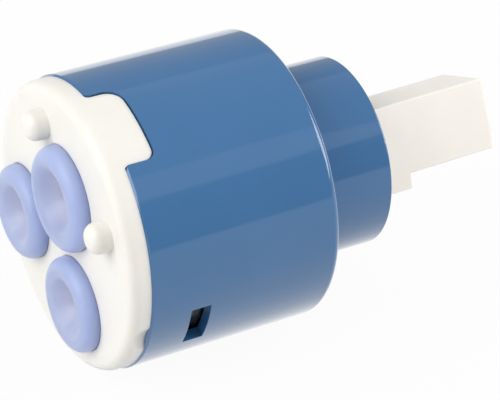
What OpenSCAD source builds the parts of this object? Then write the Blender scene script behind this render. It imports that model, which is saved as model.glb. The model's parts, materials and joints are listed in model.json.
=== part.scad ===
// Ceramic disc mixer cartridge, lying on its side on z = 0: +X runs from the base to the lever, +Z is up.
// Every piece is drawn upright, base down, with the key tab towards +X, and lay() lays it on its side.

/* [Housing] */
// Outer radius of the body
body_r = 20; // [18:0.5:24]
// Height of the housing from its rim to the shoulder
body_h = 27.75; // [27:0.25:36]
// Thickness of the side wall
wall = 1.5; // [1.1:0.1:1.9]
// Thickness of the shoulder
shoulder_t = 2.25; // [1.5:0.25:3]
// Outer radius of the neck
neck_r = 13.25; // [12.75:0.25:14.5]
// Height of the neck above the shoulder
neck_h = 12; // [10:0.5:16]
// Thickness of the neck's wall
neck_wall = 1.75; // [1.5:0.05:2]
// Rounding of the shoulder's outer edge
shoulder_edge_r = 1.1; // [0.2:0.1:1.5]
// Rounding of the neck's rim
neck_edge_r = 0.3; // [0.2:0.1:1.2]
// Fillet at the foot of the neck
neck_root_r = 0.5; // [0.2:0.1:1.5]
// Chamfer round the rim
rim_chamfer = 0.25; // [0.1:0.05:0.5]

/* [Window] */
// Width of each side window
window_w = 7; // [4:0.5:10]
// Height of each side window
window_h = 2.9; // [1.5:0.1:4]
// Height of the windows above the rim
window_lift = 5.8; // [5.5:0.1:9]
// Angle from the key tab to each window
window_turn = 90; // [70:0.5:110]

/* [Base] */
// How far the base flange lies inside the housing's outer face
flange_inset = 0.25; // [0.05:0.05:0.6]
// Thickness of the base flange
flange_h = 2.9; // [2.7:0.1:4]
// Depth of the plug inside the housing
plug_h = 5; // [4.5:0.25:7]
// Rounding of the base's outer edge
base_edge_r = 1.5; // [0.2:0.1:1.7]
// Width of the key tab
tab_w = 11.5; // [6:0.5:16]
// Height of the key tab above the rim
tab_h = 4.3; // [3:0.1:4.4]
// Rounding of the key tab's corner on the hot side
tab_hot_r = 1.2; // [0.3:0.1:1.5]
// Rounding of the key tab's corner on the cold side
tab_cold_r = 2.2; // [0.3:0.1:2.4]
// Rounding of the housing's corners at the notch
notch_mouth_r = 0.8; // [0.3:0.1:1.2]
// Gap between the key tab and its notch
tab_gap = 0.2; // [0.05:0.05:0.4]
// Gap between the plug and the housing
plug_gap = 0.1; // [0.05:0.01:0.2]
// Height of the snap bead on the plug
bead_h = 0.25; // [0.1:0.05:0.4]
// Depth of the grip scoops in the flange
scoop_d = 0.6; // [0.2:0.1:0.9]
// Radius of the ball that hollows the grip scoops
scoop_r = 6; // [3:0.5:6]

/* [Pegs] */
// Radius of the locating pegs
peg_r = 2.1; // [1.5:0.1:2.5]
// Length of the locating pegs
peg_h = 2.7; // [1.5:0.1:4]
// Distance of the pegs from the axis
peg_pitch_r = 14.3; // [14:0.1:15.6]
// Angle from the key tab to each peg
peg_turn = 42.5; // [40:0.5:55]
// Rounding of the pegs' tips
peg_tip_r = 1.4; // [0.2:0.1:1.4]

/* [Ports] */
// Distance of the inlets from the axis
inlet_pitch_r = 10.8; // [10:0.1:11.4]
// Angle of each inlet from the side facing away from the key tab
inlet_turn = 49; // [44:0.5:56]
// Distance of the outlet from the axis
outlet_pitch_r = 5.6; // [5:0.1:6]
// Sideways offset of the three seals from the key tab's plane
port_shift = 0.75; // [0:0.05:0.9]
// Outer radius of the inlet seals
inlet_seal_r = 6.55; // [5.5:0.05:6.7]
// Outer radius of the outlet seal
outlet_seal_r = 7.2; // [6:0.05:7.4]
// Inner radius of the inlet seals' round lip
inlet_lip_r = 3.25; // [3:0.05:4]
// Inner radius of the outlet seal's round lip
outlet_lip_r = 3.6; // [3.2:0.1:4.4]
// Radius of the seals' throat, at the foot of the funnel inside the lip
seal_throat_r = 1.6; // [1.4:0.1:2.4]
// How far the seals stand out of the base
seal_proud = 2.3; // [1:0.1:2.6]
// Depth of the seal pockets
seal_seat = 2.6; // [1.5:0.1:3.2]
// Gap round each seal in its pocket
seal_gap = 0.05; // [0.02:0.01:0.15]

/* [Discs] */
// Gap between the fixed disc and the housing
disc_gap = 0.4; // [0.3:0.1:1.2]
// Thickness of the fixed disc
fixed_disc_t = 3.5; // [3:0.1:4.5]
// Radius of the moving disc
moving_disc_r = 14.6; // [14.4:0.1:15.4]
// Thickness of the moving disc
moving_disc_t = 3.5; // [3:0.1:4.5]
// Distance of the disc's inlets from the axis
disc_inlet_pitch_r = 8.6; // [8.3:0.1:9]
// Radius of the disc's inlets
disc_inlet_r = 3.2; // [2.6:0.1:3.4]
// Radius of the disc's outlet
disc_outlet_r = 4; // [3.4:0.1:4.2]
// Half width of the mixing slot
mix_half_w = 4.6; // [4:0.1:4.8]
// Width of the gaskets under the fixed disc
gasket_w = 1.6; // [1:0.1:1.8]
// Depth of the gaskets' grooves
gasket_seat = 1.4; // [1:0.1:1.8]
// How far the gaskets stand out of the plug
gasket_proud = 0.3; // [0.1:0.05:0.4]
// Width of the keys that hold the fixed disc
disc_key_w = 6; // [4:0.5:8]

/* [Carrier] */
// Thickness of the carrier's plate
plate_t = 5.2; // [4.8:0.1:5.6]
// Half width of the carrier's slider block
block_half_w = 8; // [7:0.25:9]
// Half length of the carrier's slider block
block_half_l = 6; // [5:0.25:6.5]
// Gap between the slider block and the rails
rail_gap = 0.1; // [0.05:0.01:0.2]
// Thickness of the rails
rail_t = 4; // [2.5:0.25:4.25]
// Radius of the pegs that drive the moving disc
drive_peg_r = 1.5; // [1:0.1:1.8]
// Thickness of the chamber seal
chamber_seal_t = 1.2; // [0.8:0.1:1.4]
// Width of the chamber seal
chamber_seal_w = 1.4; // [1:0.1:1.6]
// Thickness of the noise screen
screen_t = 0.5; // [0.3:0.1:0.7]
// Radius of the noise screen's holes
screen_hole_r = 0.6; // [0.3:0.1:0.7]

/* [Guide] */
// Running gap between the guide's hub and the neck
hub_gap = 0.08; // [0.03:0.01:0.1]
// Thickness of the guide's flange
guide_flange_t = 2.5; // [2:0.1:3]
// Thickness of the friction ring
friction_ring_t = 0.6; // [0.4:0.1:0.9]
// Width of the friction ring
friction_ring_w = 2.2; // [1.5:0.1:2.4]
// Depth of the guide's top below the neck's rim
hub_sink = 0.65; // [0.3:0.05:1.2]
// Section radius of the guide's ring
o_ring_r = 0.84; // [0.6:0.02:1]
// Angle that the guide turns through
turn_range = 90; // [60:5:110]
// Angle covered by half the turning stop
stop_half = 6; // [4:0.5:9]

/* [Lever] */
// Side of the square stem at its root
stem_root = 10.1; // [9.4:0.1:10.2]
// Side of the square stem at its tip
stem_tip = 10; // [8:0.1:10.1]
// Length of the stem beyond the neck's rim
stem_reach = 21.5; // [15:0.25:30]
// Angle that the stem leans from the lever's lower arm
stem_lean = 0.9; // [0:0.1:1.2]
// How far the heel stands out from the stem
heel_out = 2.1; // [1:0.1:3]
// Height of the heel
heel_h = 7.8; // [5:0.1:10]
// Depth of the pivot below the neck's rim
pivot_depth = 8.25; // [7.75:0.05:8.75]
// Radius of the pivot pin
pin_r = 1.5; // [1:0.1:2]
// Radius of the lever's ball
ball_r = 3; // [2.7:0.1:3.4]
// Radius of the lever's lower arm
arm_r = 2.2; // [1.6:0.1:2.3]
// Angle that the lever tilts through
tilt_range = 25; // [18:1:27]

/* [Hidden] */

$fn = 96;
eps = 0.5;             // overrun of a cut past the face that it opens
arc_steps = 6;         // straight runs in each quarter of a rounded outline
film = 0.02;           // water film between the two discs
fit_gap = 0.05;        // gap of a close fit between two pieces
key_gap = 0.15;        // gap round the keys that hold the fixed disc
glide_gap = 0.1;       // gap between the rails and the carrier's plate
swing_gap = 0.3;       // room round a piece that swings or turns
tab_side = 113;        // angle of the key tab on the lying part, from +Y towards +Z
lay_turn = tab_side + 90;

// Heights on the upright part
rim_z = flange_h;
shoulder_z = rim_z + body_h;
neck_top_z = shoulder_z + neck_h;
under_z = shoulder_z - shoulder_t;
plug_top_z = rim_z + plug_h;
fixed_z = plug_top_z + gasket_proud;
moving_z = fixed_z + fixed_disc_t + film;
plate_z = moving_z + moving_disc_t;
plate_top_z = plate_z + plate_t;
guide_top_z = under_z - friction_ring_t - fit_gap;
guide_under_z = guide_top_z - guide_flange_t;
block_top_z = guide_under_z - swing_gap;
hub_top_z = neck_top_z - hub_sink;
stem_z = hub_top_z + glide_gap;
tip_z = neck_top_z + stem_reach;
pivot_z = neck_top_z - pivot_depth;
bead_z = rim_z + plug_h / 2;

// Radii
flange_r = body_r - flange_inset;
bore_r = body_r - wall;
neck_bore_r = neck_r - neck_wall;
hub_r = neck_bore_r - hub_gap;
plug_r = bore_r - plug_gap;
fixed_disc_r = bore_r - disc_gap;
guide_flange_r = bore_r - swing_gap;
friction_ring_in = neck_bore_r + swing_gap;
stop_t = 2.2;          // thickness of the turning stop and of the keys in line with it
stop_in_r = bore_r - stop_t;

// Lever and slider
root_half = stem_root / 2;
tip_half = stem_tip / 2;
tip_chamfer = 0.5;
stem_end_z = pivot_z + (tip_z - pivot_z) * cos(stem_lean) + (tip_half - tip_chamfer) * sin(stem_lean);
lay_x = (peg_h - stem_end_z) / 2;   // puts the middle of the lying part's length at x = 0
socket_gap = 0.15;
socket_flare = 1.6;    // mouth of the ball's socket over its bore
socket_r = ball_r + socket_gap;
ball_lift = 2.15;      // height of the ball's centre above the carrier's plate
ball_z = plate_top_z + ball_lift;
arm_l = pivot_z - ball_z;
travel = arm_l * sin(tilt_range);
rest_turn = 180 - turn_range / 2;
rail_mid = block_half_w + rail_gap + rail_t / 2;
rail_half_l = sqrt(pow(stop_in_r, 2) - pow(rail_mid + rail_t / 2, 2)) - swing_gap;

// Slot in the guide, wide enough for the lever at both ends of its tilt
slot_half_w = root_half + glide_gap;
slot_reach = root_half + swing_gap;
slot_low_z = guide_under_z - eps;
slot_high_z = hub_top_z + eps;
slot_ball_x = travel + ball_r + swing_gap;
slot_ball_z = max(slot_low_z + eps, pivot_z - arm_l * cos(tilt_range) + ball_r + swing_gap);
slot_arm_x = (pivot_z - slot_ball_z) * tan(tilt_range) + arm_r / cos(tilt_range) + swing_gap;
slot_tilt = tilt_range + stem_lean;
slot_high_x = (slot_high_z - pivot_z) * tan(slot_tilt) + root_half / cos(slot_tilt) + swing_gap;
slot_front_z = pivot_z - (root_half - arm_r / cos(tilt_range)) / tan(tilt_range);
slot_back_z = pivot_z - (root_half / cos(slot_tilt) - root_half) / tan(slot_tilt);

// Ring round the guide's hub
o_ring_pitch_r = neck_bore_r - film - o_ring_r;
o_ring_groove_r = o_ring_pitch_r - o_ring_r - film;
o_ring_z = under_z + 2 * o_ring_r;

// Foot of the key tab, from its side to the end of the housing's rounded corner
key_foot_w = tab_gap + notch_mouth_r;

// Turning stop
stop_gap = 1;          // angle left between the stop and the guide's notch at each end
notch_half = turn_range / 2 + stop_half + stop_gap;

// Ports in the base
gasket_land = 0.4;     // wall between a port and its gasket
passage_step = 0.3;    // how much smaller a passage's radius is than its seal's lip inside
inlet_passage_r = inlet_lip_r - passage_step;
outlet_passage_r = outlet_lip_r - passage_step;
passage_top_z = rim_z + plug_h / 2;
passage_overlap = 1;   // height where the two stepped stretches of a passage meet

// Mixing slot, from the moving disc's own centre, and what lies round it
mix_front = travel / 2;
mix_back = -3.5;
mix_land = 1.2;        // wall between the mixing slot and the chamber seal
peg_land = 1;          // wall between the chamber seal and the drive pegs
seal_in = mix_half_w + mix_land;
drive_peg_y = seal_in + chamber_seal_w + peg_land + drive_peg_r;
drive_peg_l = 2;
screen_ledge = 0.7;    // width of the ledge under the noise screen's edge
screen_lap = 0.5;      // how far the noise screen reaches past the mixing slot
screen_half_w = mix_half_w + screen_lap;
chamber_half_w = screen_half_w - screen_ledge;
screen_z = plate_z + screen_t;
screen_pitch = 2.2;

// Points of an arc round (x, y)
function arc(x, y, r, a0, a1, steps = arc_steps) =
    [for (i = [0 : steps]) let (a = a0 + (a1 - a0) * i / steps) [x + r * cos(a), y + r * sin(a)]];

// Lays an upright piece on its side
module lay() translate([lay_x, 0, body_r]) rotate([0, 90, 0]) rotate([0, 0, lay_turn]) children();

// Places a piece that turns with the guide, with its tilt plane along x
module in_guide() rotate([0, 0, rest_turn]) children();

// Puts a piece at an inlet, on a given pitch radius; side is 1 for cold and -1 for hot
module at_inlet(pitch_r, side) rotate([0, 0, 180 + side * inlet_turn]) translate([pitch_r, 0, 0]) children();

// Puts a piece at the outlet
module at_outlet() translate([outlet_pitch_r, 0, 0]) children();

// Shifts the seals and their pockets to one side of the key tab's plane
module beside_tab() translate([0, -port_shift, 0]) children();

// Outline of a tube's wall, as a flat ring
module ring(r_out, r_in) difference() {
    circle(r_out);
    circle(r_in);
}

// Flat wedge between two angles, reaching past radius r
module wedge(r, a0, a1) {
    steps = 4;
    rim = [for (i = [0 : steps]) let (a = a0 + (a1 - a0) * i / steps) 2 * r * [cos(a), sin(a)]];
    polygon(concat([[0, 0]], rim));
}

// Flat slot with round ends, from x0 to x1
module round_slot(x0, x1, half_w) {
    translate([x0, -half_w]) square([x1 - x0, 2 * half_w]);
    translate([x0, 0]) circle(half_w);
    translate([x1, 0]) circle(half_w);
}

// Bar along +x whose section, w wide and h high, has its upper corners rounded, hot_r towards +y
module key_bar(w, h, hot_r, cold_r, reach) rotate([90, 0, 90]) linear_extrude(reach) {
    square([w / 2, h - hot_r]);
    translate([-w / 2, 0]) square([w / 2, h - cold_r]);
    translate([cold_r - w / 2, 0]) square([w - hot_r - cold_r, h]);
    translate([w / 2 - hot_r, h - hot_r]) circle(hot_r);
    translate([cold_r - w / 2, h - cold_r]) circle(cold_r);
}

// Flared foot of such a bar, against the housing's rounded corners; corner_r is the hollow's own radius
module key_foot(corner_r, reach) rotate([90, 0, 90]) linear_extrude(reach)
    for (side = [-1, 1]) translate([side * tab_w / 2, 0]) difference() {
        translate([-key_foot_w, -eps]) square([2 * key_foot_w, notch_mouth_r + eps]);
        translate([side * key_foot_w, notch_mouth_r]) circle(corner_r);
    }

// Block centred across x and y, standing on z = 0
module post(w, d, h) translate([-w / 2, -d / 2, 0]) cube([w, d, h]);

module housing_shell() rotate_extrude() polygon(concat(
    [
        [bore_r, rim_z],
        [bore_r, bead_z - 2 * bead_h],
        [bore_r + bead_h, bead_z],
        [bore_r, bead_z + 2 * bead_h],
        [bore_r, under_z],
        [neck_bore_r, under_z],
        [neck_bore_r, neck_top_z]
    ],
    arc(neck_r - neck_edge_r, neck_top_z - neck_edge_r, neck_edge_r, 90, 0),
    arc(neck_r + neck_root_r, shoulder_z + neck_root_r, neck_root_r, 180, 270),
    arc(body_r - shoulder_edge_r, shoulder_z - shoulder_edge_r, shoulder_edge_r, 90, 0),
    [[body_r, rim_z + rim_chamfer], [body_r - rim_chamfer, rim_z]]
));

module housing() color("steelblue") lay() {
    difference() {
        housing_shell();
        translate([bore_r - wall, 0, rim_z - eps]) key_bar(
            tab_w + 2 * tab_gap, tab_h + tab_gap + eps, tab_hot_r + tab_gap, tab_cold_r + tab_gap, 3 * wall
        );
        translate([bore_r - wall, 0, rim_z]) key_foot(notch_mouth_r, 3 * wall);
        for (side = [-1, 1]) rotate([0, 0, side * window_turn])
            translate([bore_r, 0, rim_z + window_lift]) post(4 * wall, window_w, window_h);
    }
    // Stop for the turning guide, hung from the shoulder inside the wall
    translate([0, 0, guide_under_z - eps]) linear_extrude(under_z - guide_under_z + 2 * eps)
        intersection() {
            ring(bore_r + wall / 2, stop_in_r);
            wedge(bore_r, 180 - stop_half, 180 + stop_half);
        }
}

module base_solid() {
    rotate_extrude() polygon(concat(
        [[0, plug_top_z], [0, 0]],
        arc(flange_r - base_edge_r, base_edge_r, base_edge_r, -90, 0),
        [
            [flange_r, rim_z],
            [plug_r, rim_z],
            [plug_r, bead_z - 2 * bead_h],
            [plug_r + bead_h, bead_z],
            [plug_r, bead_z + 2 * bead_h],
            [plug_r, plug_top_z]
        ]
    ));
    // Key tab, in line with the flange
    intersection() {
        union() {
            translate([bore_r - 2 * wall, 0, rim_z - eps])
                key_bar(tab_w, tab_h + eps, tab_hot_r, tab_cold_r, 4 * wall);
            translate([bore_r, 0, rim_z]) key_foot(key_foot_w, 2 * wall);
        }
        cylinder(r = flange_r, h = shoulder_z);
    }
    for (side = [-1, 1]) rotate([0, 0, side * peg_turn]) translate([peg_pitch_r, 0, 0])
        rotate_extrude() polygon(concat(
            [[0, eps], [0, -peg_h]],
            arc(peg_r - peg_tip_r, peg_tip_r - peg_h, peg_tip_r, 270, 360),
            [[peg_r, eps]]
        ));
    // Keys that stop the fixed disc turning
    for (end = [0, 180]) rotate([0, 0, end]) intersection() {
        translate([stop_in_r + disc_key_w / 2, 0, plug_top_z - eps])
            post(disc_key_w, disc_key_w, fixed_disc_t + gasket_proud);
        cylinder(r = plug_r, h = shoulder_z);
    }
}

// Cuts for one port: the seal's pocket, the passage above it and the gasket's groove
module pocket_cut(seal_r) translate([0, 0, -eps]) cylinder(r = seal_r + seal_gap, h = seal_seat + eps);

module groove_cut(port_r) translate([0, 0, plug_top_z - gasket_seat]) linear_extrude(gasket_seat + eps)
    ring(port_r + gasket_land + gasket_w + fit_gap, port_r + gasket_land - fit_gap);

module base() color("ivory") lay() difference() {
    base_solid();
    for (side = [-1, 1]) {
        beside_tab() at_inlet(inlet_pitch_r, side) {
            pocket_cut(inlet_seal_r);
            cylinder(r = inlet_passage_r, h = passage_top_z);
        }
        at_inlet(disc_inlet_pitch_r, side) {
            translate([0, 0, passage_top_z - passage_overlap]) cylinder(r = disc_inlet_r, h = plug_top_z);
            groove_cut(disc_inlet_r);
        }
        rotate([0, 0, side * window_turn])
            translate([flange_r + scoop_r - scoop_d, 0, rim_z]) sphere(scoop_r);
    }
    beside_tab() at_outlet() {
        pocket_cut(outlet_seal_r);
        cylinder(r = outlet_passage_r, h = passage_top_z);
    }
    at_outlet() {
        translate([0, 0, passage_top_z - passage_overlap]) cylinder(r = disc_outlet_r, h = plug_top_z);
        groove_cut(disc_outlet_r);
    }
}

// Port seal, seated in its pocket: a round lip, and inside it a funnel at 45 degrees down to the throat
module port_seal(seal_r, lip_in_r) {
    lip_r = (seal_r - lip_in_r) / 2;
    lip_mid_r = lip_in_r + lip_r;
    lip_mid_z = lip_r - seal_proud;
    throat_z = lip_mid_z + lip_mid_r - seal_throat_r - lip_r * sqrt(2);
    color([0.66, 0.7, 0.88]) rotate_extrude() polygon(concat(
        [[seal_throat_r, seal_seat], [seal_throat_r, throat_z]],
        arc(lip_mid_r, lip_mid_z, lip_r, 225, 360, 2 * arc_steps),
        [[seal_r, seal_seat]]
    ));
}

module cold_seal() lay() beside_tab() at_inlet(inlet_pitch_r, 1) port_seal(inlet_seal_r, inlet_lip_r);

module hot_seal() lay() beside_tab() at_inlet(inlet_pitch_r, -1) port_seal(inlet_seal_r, inlet_lip_r);

module outlet_seal() lay() beside_tab() at_outlet() port_seal(outlet_seal_r, outlet_lip_r);

// Flat ring between the plug and the fixed disc
module gasket(port_r) color("dimgray") translate([0, 0, plug_top_z - gasket_seat])
    linear_extrude(gasket_seat + gasket_proud) ring(port_r + gasket_land + gasket_w, port_r + gasket_land);

module cold_gasket() lay() at_inlet(disc_inlet_pitch_r, 1) gasket(disc_inlet_r);

module hot_gasket() lay() at_inlet(disc_inlet_pitch_r, -1) gasket(disc_inlet_r);

module outlet_gasket() lay() at_outlet() gasket(disc_outlet_r);

module fixed_disc() color([0.16, 0.16, 0.18]) lay() difference() {
    translate([0, 0, fixed_z]) cylinder(r = fixed_disc_r, h = fixed_disc_t);
    for (side = [-1, 1]) at_inlet(disc_inlet_pitch_r, side) cylinder(r = disc_inlet_r, h = shoulder_z);
    at_outlet() cylinder(r = disc_outlet_r, h = shoulder_z);
    for (end = [0, 180]) rotate([0, 0, end])
        translate([stop_in_r + disc_key_w / 2 - key_gap, 0, 0])
            post(disc_key_w, disc_key_w + 2 * key_gap, shoulder_z);
}

// Places what slides with the carrier, at the closed end of its travel
module on_carrier() in_guide() translate([-travel / 2, 0, 0]) children();

module moving_disc() color([0.16, 0.16, 0.18]) lay() on_carrier() difference() {
    translate([0, 0, moving_z]) cylinder(r = moving_disc_r, h = moving_disc_t);
    translate([0, 0, moving_z - eps]) linear_extrude(moving_disc_t + 2 * eps)
        round_slot(mix_back, mix_front, mix_half_w);
    for (side = [-1, 1]) translate([0, side * drive_peg_y, plate_z - drive_peg_l - glide_gap])
        cylinder(r = drive_peg_r + fit_gap, h = drive_peg_l + eps);
}

// Closed band with round ends
module band(half_w_out, half_w_in) difference() {
    round_slot(mix_back, mix_front, half_w_out);
    round_slot(mix_back, mix_front, half_w_in);
}

module chamber_seal() color("dimgray") lay() on_carrier() translate([0, 0, plate_z])
    linear_extrude(chamber_seal_t) band(seal_in + chamber_seal_w, seal_in);

module noise_screen() color("gainsboro") lay() on_carrier() translate([0, 0, screen_z])
    linear_extrude(screen_t) difference() {
        round_slot(mix_back, mix_front, screen_half_w);
        for (x = [mix_back : screen_pitch : mix_front], y = [-1, 0, 1])
            translate([x, y * screen_pitch]) circle(screen_hole_r);
    }

module disc_carrier() color("lightslategray") lay() on_carrier() {
    difference() {
        union() {
            translate([0, 0, plate_z]) cylinder(r = moving_disc_r, h = plate_t);
            translate([travel / 2, 0, plate_z + eps])
                post(2 * block_half_l, 2 * block_half_w, block_top_z - plate_z - eps);
            for (side = [-1, 1]) translate([0, side * drive_peg_y, plate_z - drive_peg_l])
                cylinder(r = drive_peg_r, h = drive_peg_l + eps);
        }
        // Mixing chamber with a ledge for the screen, and the seal's groove round it
        translate([0, 0, plate_z - eps]) linear_extrude(2 * screen_t + eps)
            round_slot(mix_back, mix_front, screen_half_w + fit_gap);
        translate([0, 0, plate_z - eps]) linear_extrude(plate_t / 2 + eps)
            round_slot(mix_back, mix_front, chamber_half_w);
        translate([0, 0, plate_z - eps]) linear_extrude(chamber_seal_t + eps)
            band(seal_in + chamber_seal_w + fit_gap, seal_in - fit_gap);
        // Socket for the lever's ball, flared at its mouth
        translate([travel / 2, 0, ball_z - ball_r - swing_gap]) cylinder(r = socket_r, h = block_top_z);
        translate([travel / 2, 0, block_top_z - socket_r / 2])
            cylinder(r1 = socket_r, r2 = socket_r * socket_flare, h = socket_r / 2 + glide_gap);
    }
}

module rotary_guide() color("ivory") lay() in_guide() difference() {
    union() {
        translate([0, 0, guide_under_z]) cylinder(r = guide_flange_r, h = guide_flange_t);
        translate([0, 0, guide_under_z]) cylinder(r = hub_r, h = hub_top_z - guide_under_z);
        for (side = [-1, 1]) translate([0, side * rail_mid, plate_top_z + glide_gap])
            post(2 * rail_half_l, rail_t, guide_under_z - plate_top_z);
    }
    rotate([90, 0, 0]) linear_extrude(2 * slot_half_w, center = true) polygon([
        [-slot_reach, slot_low_z],
        [slot_ball_x, slot_low_z],
        [slot_ball_x, slot_ball_z],
        [slot_arm_x, slot_ball_z],
        [slot_reach, slot_front_z],
        [slot_reach, slot_high_z],
        [-slot_high_x, slot_high_z],
        [-slot_reach, slot_back_z]
    ]);
    translate([0, 0, pivot_z]) rotate([90, 0, 0]) cylinder(r = pin_r + film, h = 2 * bore_r, center = true);
    translate([0, 0, o_ring_z]) linear_extrude(2 * (o_ring_r + fit_gap), center = true)
        ring(hub_r + eps, o_ring_groove_r);
    translate([0, 0, guide_under_z - eps]) linear_extrude(guide_flange_t + 2 * eps) intersection() {
        ring(bore_r, stop_in_r - swing_gap);
        wedge(bore_r, -notch_half, notch_half);
    }
}

module friction_ring() color("whitesmoke") lay() translate([0, 0, under_z - friction_ring_t])
    linear_extrude(friction_ring_t) ring(friction_ring_in + friction_ring_w, friction_ring_in);

module guide_o_ring() color("dimgray") lay() translate([0, 0, o_ring_z]) rotate_extrude()
    translate([o_ring_pitch_r, 0]) circle(o_ring_r);

module pivot_pin() color("silver") lay() in_guide() translate([0, 0, pivot_z]) rotate([90, 0, 0])
    cylinder(r = pin_r, h = 2 * (hub_r - eps), center = true);

// Side view of the stem, drawn out across it
module stem_side() rotate([90, 0, 0]) linear_extrude(2 * stem_root, center = true) polygon([
    [-root_half, pivot_z],
    [root_half, pivot_z],
    [root_half, stem_z],
    [tip_half, tip_z - tip_chamfer],
    [tip_half - tip_chamfer, tip_z],
    [tip_chamfer - tip_half, tip_z],
    [-tip_half, tip_z - tip_chamfer],
    [-root_half, stem_z]
]);

// Square stem with its heel, and the round foot that turns on the pin
module stem() {
    intersection() {
        union() {
            stem_side();
            translate([root_half, 0, stem_z]) post(2 * heel_out, 2 * stem_root, heel_h);
        }
        rotate([0, 0, 90]) stem_side();
    }
    translate([0, 0, pivot_z]) rotate([90, 0, 0]) cylinder(r = root_half, h = stem_root, center = true);
}

// Leans the stem about the pivot
module lean() translate([0, 0, pivot_z]) rotate([0, -stem_lean, 0]) translate([0, 0, -pivot_z]) children();

module lever() color("seashell") lay() in_guide() difference() {
    union() {
        lean() stem();
        translate([0, 0, ball_z]) cylinder(r = arm_r, h = arm_l);
        translate([0, 0, ball_z]) sphere(ball_r);
    }
    translate([0, 0, pivot_z]) rotate([90, 0, 0])
        cylinder(r = pin_r + fit_gap, h = 2 * stem_root, center = true);
}

housing();
base();
cold_seal();
hot_seal();
outlet_seal();
cold_gasket();
hot_gasket();
outlet_gasket();
fixed_disc();
moving_disc();
chamber_seal();
noise_screen();
disc_carrier();
rotary_guide();
friction_ring();
guide_o_ring();
pivot_pin();
lever();
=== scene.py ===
import json
import math

import bmesh
import bpy
from mathutils import Euler, Matrix, Vector


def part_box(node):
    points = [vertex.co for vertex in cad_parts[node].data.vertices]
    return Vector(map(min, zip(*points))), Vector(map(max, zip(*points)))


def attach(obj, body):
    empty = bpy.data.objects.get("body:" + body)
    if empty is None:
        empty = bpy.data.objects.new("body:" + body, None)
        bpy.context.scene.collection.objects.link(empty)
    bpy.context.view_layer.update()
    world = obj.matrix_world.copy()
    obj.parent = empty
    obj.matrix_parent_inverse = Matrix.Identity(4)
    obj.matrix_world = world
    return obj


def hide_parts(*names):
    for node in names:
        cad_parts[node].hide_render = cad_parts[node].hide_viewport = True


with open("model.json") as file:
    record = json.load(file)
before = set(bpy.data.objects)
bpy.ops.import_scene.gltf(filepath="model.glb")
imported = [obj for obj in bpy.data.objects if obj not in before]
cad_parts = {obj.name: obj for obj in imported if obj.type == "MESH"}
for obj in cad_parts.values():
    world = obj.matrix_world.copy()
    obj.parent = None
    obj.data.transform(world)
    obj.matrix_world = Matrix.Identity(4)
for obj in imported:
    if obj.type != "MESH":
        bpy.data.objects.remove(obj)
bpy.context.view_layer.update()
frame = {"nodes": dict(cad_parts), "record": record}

# Units and places, from the frame
MM = 0.001
nodes = frame["nodes"]
mounts = {m["name"]: m for m in frame["record"]["mounts"]}
MIDDLE = (0.0, 0.0, mounts["neck"]["pos_m"][2])

# Camera, from a fit to the photograph's outlines: angles in degrees, lens and sensor in millimetres
CAMERA_AT = Vector((-0.151793, -0.264357, 0.199647))
CAMERA_PITCH = 58.839
CAMERA_HEADING = -29.44
CAMERA_ROLL = 0.291
CAMERA_LENS = 187.2
SENSOR_W = 36.0

# Edges of the rigid pieces: width of the rounding, its steps, and the angle from which an edge is sharp
EDGE_MM = {"housing": 0.18, "base": 0.3, "lever": 0.45, "rotary_guide": 0.2}
EDGE_STEPS = 3
SHARP_ANGLE = 35
WELD_MM = 0.001

# Seals: the port of each one, the lip's rounding as a share of the outer radius, the arc of the lip
# from the funnel to its outer side, and where the funnel's wall has its rings
SEAL_PORTS = {"cold_seal": "cold_port", "hot_seal": "hot_port", "outlet_seal": "outlet_port"}
LIP_SHARE = 0.25
LIP_ARC = (225, 360)
LIP_STEPS = 24
FUNNEL_STEPS = (0.0, 0.04, 0.3, 0.6, 0.9)
RING_SEGMENTS = 128

# Silicone's colours between two radii, with painted light and shade: the funnel painted paler as painted
# light, the lip's crest painted darker as painted shade, and the outer edge's colour
PAINTED_LIGHT_FROM_MM = 2.5
PAINTED_LIGHT_TO_MM = 6.6
PAINTED_SHADE_AT = 0.55
FUNNEL_PAINTED_LIGHT = (0.48, 0.51, 0.69)
CREST_PAINTED_SHADE = (0.31, 0.355, 0.54)
EDGE_COLOR = (0.34, 0.40, 0.65)

# Part of a noise's range in which a tint goes from its dark to its light shade
TINT_FROM = 0.3
TINT_TO = 0.7

# Floor, and light from all round
FLOOR_SIZE = 6.0
FLOOR_COLOR = (0.7, 0.7, 0.7)
FLOOR_GLOW = 0.95
WORLD_LIGHT = 0.43

# Softboxes: place, point that it faces, width, height, and brightness of its face, where 1 is white
SOFTBOXES = {
    "top": ((0.0, 0.1, 0.8), (0.0, 0.1, 0.0), 1.8, 1.24, 0.2),
    "front": ((0.0, -0.76, 0.8), (0.0, -0.76, 0.0), 1.8, 0.48, 0.48),
    "left": ((-1.1, 0.06, 0.78), MIDDLE, 1.2, 1.2, 3.3),
    "right": ((1.08, -0.57, 0.57), MIDDLE, 0.8, 0.8, 5.4),
}


def principled(name, color, roughness, **sockets):
    """A new material with a Principled shader whose sockets are set by name, and that shader."""
    material = bpy.data.materials.new(name)
    material.use_nodes = True
    shader = material.node_tree.nodes["Principled BSDF"]
    shader.inputs["Base Color"].default_value = (*color, 1.0)
    shader.inputs["Roughness"].default_value = roughness
    for socket, value in sockets.items():
        shader.inputs[socket.replace("_", " ")].default_value = value
    return material, shader


def add_node(material, kind, operation=None, **values):
    """A new node in a material's tree, with its operation, and its unlinked inputs set by name."""
    node = material.node_tree.nodes.new(kind)
    if operation:
        node.operation = operation
    for name, value in values.items():
        node.inputs[name.replace("_", " ")].default_value = value
    return node


def link(material, source, target):
    material.node_tree.links.new(source, target)


def position(material):
    """Coordinates of the surface in metres, which stay with the piece."""
    return add_node(material, "ShaderNodeTexCoord").outputs["Object"]


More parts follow.
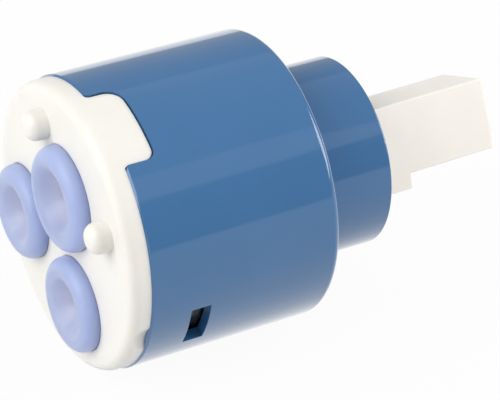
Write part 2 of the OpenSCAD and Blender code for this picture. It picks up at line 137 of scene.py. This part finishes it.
def moulded_texture(material, shader, grain_mm, depth_mm, strength):
    """Fine even grain of a moulded surface."""
    noise = add_node(material, "ShaderNodeTexNoise", Scale=1 / (grain_mm * MM), Detail=3.0, Roughness=0.6)
    bump = add_node(material, "ShaderNodeBump", Strength=strength, Distance=depth_mm * MM)
    link(material, position(material), noise.inputs["Vector"])
    link(material, noise.outputs["Fac"], bump.inputs["Height"])
    link(material, bump.outputs["Normal"], shader.inputs["Normal"])


def tinted(material, shader, dark, light, patch_mm):
    """Slow drift of the colour between two near shades."""
    noise = add_node(material, "ShaderNodeTexNoise", Scale=1 / (patch_mm * MM), Detail=2.0)
    ramp = add_node(material, "ShaderNodeValToRGB")
    ramp.color_ramp.elements[0].position = TINT_FROM
    ramp.color_ramp.elements[1].position = TINT_TO
    ramp.color_ramp.elements[0].color = (*dark, 1.0)
    ramp.color_ramp.elements[1].color = (*light, 1.0)
    link(material, position(material), noise.inputs["Vector"])
    link(material, noise.outputs["Fac"], ramp.inputs["Fac"])
    link(material, ramp.outputs["Color"], shader.inputs["Base Color"])


def rough_patches(material, shader, low, high, patch_mm):
    """Handling marks: the roughness drifts between two values."""
    noise = add_node(material, "ShaderNodeTexNoise", Scale=1 / (patch_mm * MM), Detail=4.0)
    span = add_node(material, "ShaderNodeMapRange", To_Min=low, To_Max=high)
    link(material, position(material), noise.inputs["Vector"])
    link(material, noise.outputs["Fac"], span.inputs["Value"])
    link(material, span.outputs["Result"], shader.inputs["Roughness"])


def blue_plastic():
    """Glossy moulded plastic with a clear skin."""
    material, shader = principled("blue_plastic", (0.0335, 0.135, 0.31), 0.12, IOR=1.45,
                                  Coat_Weight=1.0, Coat_Roughness=0.06, Coat_IOR=1.4)
    tinted(material, shader, (0.032, 0.132, 0.304), (0.035, 0.138, 0.316), patch_mm=9)
    rough_patches(material, shader, low=0.1, high=0.16, patch_mm=5)
    moulded_texture(material, shader, grain_mm=0.35, depth_mm=0.01, strength=0.08)
    return material


def white_plastic(name, dark, light, roughness):
    """Satin moulded plastic that lets a little light in."""
    material, shader = principled(name, light, roughness, IOR=1.48, Subsurface_Weight=0.35,
                                  Subsurface_Radius=(1.0, 0.8, 0.6), Subsurface_Scale=0.8 * MM)
    tinted(material, shader, dark, light, patch_mm=7)
    rough_patches(material, shader, low=roughness - 0.05, high=roughness + 0.06, patch_mm=4)
    moulded_texture(material, shader, grain_mm=0.4, depth_mm=0.012, strength=0.12)
    return material


def silicone():
    """Translucent rubber whose colour changes with the distance from the seal's axis: painted light makes
    the funnel paler and painted shade makes the lip's crest darker.
    """
    material, shader = principled("seal_silicone", EDGE_COLOR, 0.34, IOR=1.42, Subsurface_Weight=1.0,
                                  Subsurface_Radius=(0.9, 0.95, 1.2), Subsurface_Scale=7.0 * MM)
    apart = add_node(material, "ShaderNodeSeparateXYZ")
    across = add_node(material, "ShaderNodeCombineXYZ")
    radius = add_node(material, "ShaderNodeVectorMath", "LENGTH")
    span = add_node(material, "ShaderNodeMapRange", From_Min=PAINTED_LIGHT_FROM_MM * MM, From_Max=PAINTED_LIGHT_TO_MM * MM)
    # Painted light and shade by radius: a paler funnel as painted light, a darker crest as painted shade,
    # then the outer edge's colour
    ramp = add_node(material, "ShaderNodeValToRGB")
    ramp.color_ramp.elements[0].color = (*FUNNEL_PAINTED_LIGHT, 1.0)
    ramp.color_ramp.elements[1].color = (*EDGE_COLOR, 1.0)
    ramp.color_ramp.elements.new(PAINTED_SHADE_AT).color = (*CREST_PAINTED_SHADE, 1.0)
    link(material, position(material), apart.inputs["Vector"])
    link(material, apart.outputs["Y"], across.inputs["Y"])
    link(material, apart.outputs["Z"], across.inputs["Z"])
    link(material, across.outputs["Vector"], radius.inputs[0])
    link(material, radius.outputs["Value"], span.inputs["Value"])
    link(material, span.outputs["Result"], ramp.inputs["Fac"])
    link(material, ramp.outputs["Color"], shader.inputs["Base Color"])
    moulded_texture(material, shader, grain_mm=0.5, depth_mm=0.01, strength=0.1)
    return material


def dark_ceramic():
    material, shader = principled("disc_ceramic", (0.02, 0.02, 0.024), 0.22, IOR=1.6)
    tinted(material, shader, (0.017, 0.017, 0.02), (0.026, 0.026, 0.03), patch_mm=3)
    return material


def rubber():
    material, shader = principled("gasket_rubber", (0.02, 0.02, 0.02), 0.6)
    rough_patches(material, shader, low=0.5, high=0.7, patch_mm=2)
    moulded_texture(material, shader, grain_mm=0.3, depth_mm=0.02, strength=0.2)
    return material


def grey_plastic():
    material, shader = principled("carrier_plastic", (0.14, 0.15, 0.17), 0.5)
    tinted(material, shader, (0.13, 0.14, 0.16), (0.15, 0.16, 0.18), patch_mm=5)
    moulded_texture(material, shader, grain_mm=0.4, depth_mm=0.012, strength=0.15)
    return material


def steel(name, roughness):
    material, shader = principled(name, (0.56, 0.56, 0.57), roughness, Metallic=1.0)
    rough_patches(material, shader, low=roughness - 0.05, high=roughness + 0.08, patch_mm=1.5)
    return material


def floor_material():
    """White to the camera and in reflections, with a little of the light on it, so its shadow stays."""
    material, shader = principled("floor", FLOOR_COLOR, 0.9)
    path = add_node(material, "ShaderNodeLightPath")
    glow = add_node(material, "ShaderNodeEmission", Strength=1.0)
    mix = add_node(material, "ShaderNodeMixShader")
    output = material.node_tree.nodes["Material Output"]
    seen = path.outputs["Is Camera Ray"]
    for ray in ("Is Glossy Ray", "Is Transmission Ray"):
        either = add_node(material, "ShaderNodeMath", "MAXIMUM")
        link(material, seen, either.inputs[0])
        link(material, path.outputs[ray], either.inputs[1])
        seen = either.outputs["Value"]
    share = add_node(material, "ShaderNodeMath", "MULTIPLY")
    share.inputs[1].default_value = FLOOR_GLOW
    link(material, seen, share.inputs[0])
    link(material, share.outputs["Value"], mix.inputs["Fac"])
    link(material, shader.outputs["BSDF"], mix.inputs[1])
    link(material, glow.outputs["Emission"], mix.inputs[2])
    link(material, mix.outputs["Shader"], output.inputs["Surface"])
    return material


def shade(node, material):
    """Gives a node one material and smooth shading that breaks at its edges."""
    node.data.materials.clear()
    node.data.materials.append(material)
    for polygon in node.data.polygons:
        polygon.use_smooth = True
        polygon.material_index = 0


def soften_edges(node, width_mm):
    """Small rounding of a rigid piece's sharp edges, as its mould leaves them."""
    weld = node.modifiers.new("weld", "WELD")
    weld.merge_threshold = WELD_MM * MM
    bevel = node.modifiers.new("bevel", "BEVEL")
    bevel.width = width_mm * MM
    bevel.segments = EDGE_STEPS
    bevel.limit_method = "ANGLE"
    bevel.angle_limit = math.radians(SHARP_ANGLE)
    bevel.use_clamp_overlap = True
    normals = node.modifiers.new("normals", "WEIGHTED_NORMAL")
    normals.keep_sharp = True


def arc(r, x, radius, start, end, steps):
    """Points (radius, distance) of an arc, with angles in degrees from the radial direction towards +X."""
    points = []
    for i in range(steps + 1):
        a = math.radians(start + (end - start) * i / steps)
        points.append((r + radius * math.cos(a), x + radius * math.sin(a)))
    return points


def lathe(name, profile, centre, segments):
    """A closed ring: the outline (radius, distance along +X) turned about an axis along X, at centre."""
    mesh = bpy.data.meshes.new(name)
    shape = bmesh.new()
    rings = []
    for i in range(segments):
        a = 2 * math.pi * i / segments
        rings.append([shape.verts.new((x, r * math.cos(a), r * math.sin(a))) for r, x in profile])
    for i in range(segments):
        here, there = rings[i], rings[(i + 1) % segments]
        for k in range(len(profile)):
            n = (k + 1) % len(profile)
            shape.faces.new((here[k], here[n], there[n], there[k]))
    bmesh.ops.recalc_face_normals(shape, faces=shape.faces)
    shape.to_mesh(mesh)
    shape.free()
    piece = bpy.data.objects.new(name, mesh)
    bpy.context.scene.collection.objects.link(piece)
    piece.location = centre
    for polygon in mesh.polygons:
        polygon.use_smooth = True
    return piece


def port_seal(node_name, port, material):
    """A soft seal with a round lip and a funnel at 45 degrees down to its throat, seated in the base."""
    low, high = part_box(node_name)
    centre = Vector(mounts[port]["pos_m"])
    outer = (high.y - low.y) / 2
    throat = mounts[port]["dims"]["r_mm"] * MM
    lip = LIP_SHARE * outer
    front, seat = low.x - centre.x, high.x - centre.x
    rounded = arc(outer - lip, front + lip, lip, *LIP_ARC, LIP_STEPS)
    top_r, top_x = rounded[0]
    drop = top_r - throat
    funnel = [(throat + drop * t, top_x + drop * (1 - t)) for t in FUNNEL_STEPS]
    profile = [(outer, seat), (throat, seat)] + funnel + rounded
    piece = lathe(node_name + "_soft", profile, centre, RING_SEGMENTS)
    piece.data.materials.append(material)
    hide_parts(node_name)
    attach(piece, "shell")


def softbox(name, at, target, width, height, brightness):
    """A large even light, with its power worked out from how bright its face is."""
    lamp = bpy.data.lights.new(name, "AREA")
    lamp.shape = "RECTANGLE"
    lamp.size = width
    lamp.size_y = height
    lamp.energy = math.pi * width * height * brightness
    holder = bpy.data.objects.new(name, lamp)
    bpy.context.scene.collection.objects.link(holder)
    holder.location = at
    holder.rotation_euler = (Vector(target) - Vector(at)).to_track_quat("-Z", "Y").to_euler()
    holder.visible_camera = False


# Rigid pieces: finishes, then edges
ceramic = dark_ceramic()
gasket = rubber()
finishes = {
    "housing": blue_plastic(),
    "base": white_plastic("white_base", (0.785, 0.765, 0.715), (0.81, 0.79, 0.74), 0.36),
    "lever": white_plastic("white_lever", (0.855, 0.82, 0.76), (0.885, 0.85, 0.795), 0.4),
    "rotary_guide": white_plastic("guide_plastic", (0.84, 0.82, 0.77), (0.87, 0.85, 0.80), 0.42),
    "friction_ring": white_plastic("slip_plastic", (0.8, 0.8, 0.79), (0.83, 0.83, 0.82), 0.45),
    "fixed_disc": ceramic,
    "moving_disc": ceramic,
    "disc_carrier": grey_plastic(),
    "noise_screen": steel("screen_steel", 0.35),
    "pivot_pin": steel("pin_steel", 0.2),
    "cold_gasket": gasket,
    "hot_gasket": gasket,
    "outlet_gasket": gasket,
    "chamber_seal": gasket,
    "guide_o_ring": gasket,
}
for name, material in finishes.items():
    shade(nodes[name], material)
for name, width_mm in EDGE_MM.items():
    soften_edges(nodes[name], width_mm)

# Soft seals
seal_material = silicone()
for seal, port in SEAL_PORTS.items():
    port_seal(seal, port, seal_material)

# Floor
bpy.ops.mesh.primitive_plane_add(size=FLOOR_SIZE, location=(0, 0, 0))
floor = bpy.context.object
floor.name = "floor"
floor.data.materials.append(floor_material())

# World and lamps
world = bpy.data.worlds.new("studio")
bpy.context.scene.world = world
world.use_nodes = True
background = world.node_tree.nodes["Background"]
background.inputs["Color"].default_value = (1.0, 1.0, 1.0, 1.0)
background.inputs["Strength"].default_value = WORLD_LIGHT
for name, settings in SOFTBOXES.items():
    softbox(name, *settings)

# Camera
camera = bpy.data.cameras.new("camera")
camera.lens = CAMERA_LENS
camera.sensor_width = SENSOR_W
camera.sensor_fit = "HORIZONTAL"
camera_holder = bpy.data.objects.new("camera", camera)
bpy.context.scene.collection.objects.link(camera_holder)
camera_holder.location = CAMERA_AT
turned = Euler((math.radians(CAMERA_PITCH), 0.0, math.radians(CAMERA_HEADING))).to_matrix()
rolled = Matrix.Rotation(math.radians(CAMERA_ROLL), 3, "Z")
camera_holder.rotation_euler = (turned @ rolled).to_euler()
bpy.context.scene.camera = camera_holder

bpy.context.scene.view_settings.view_transform = "Standard"
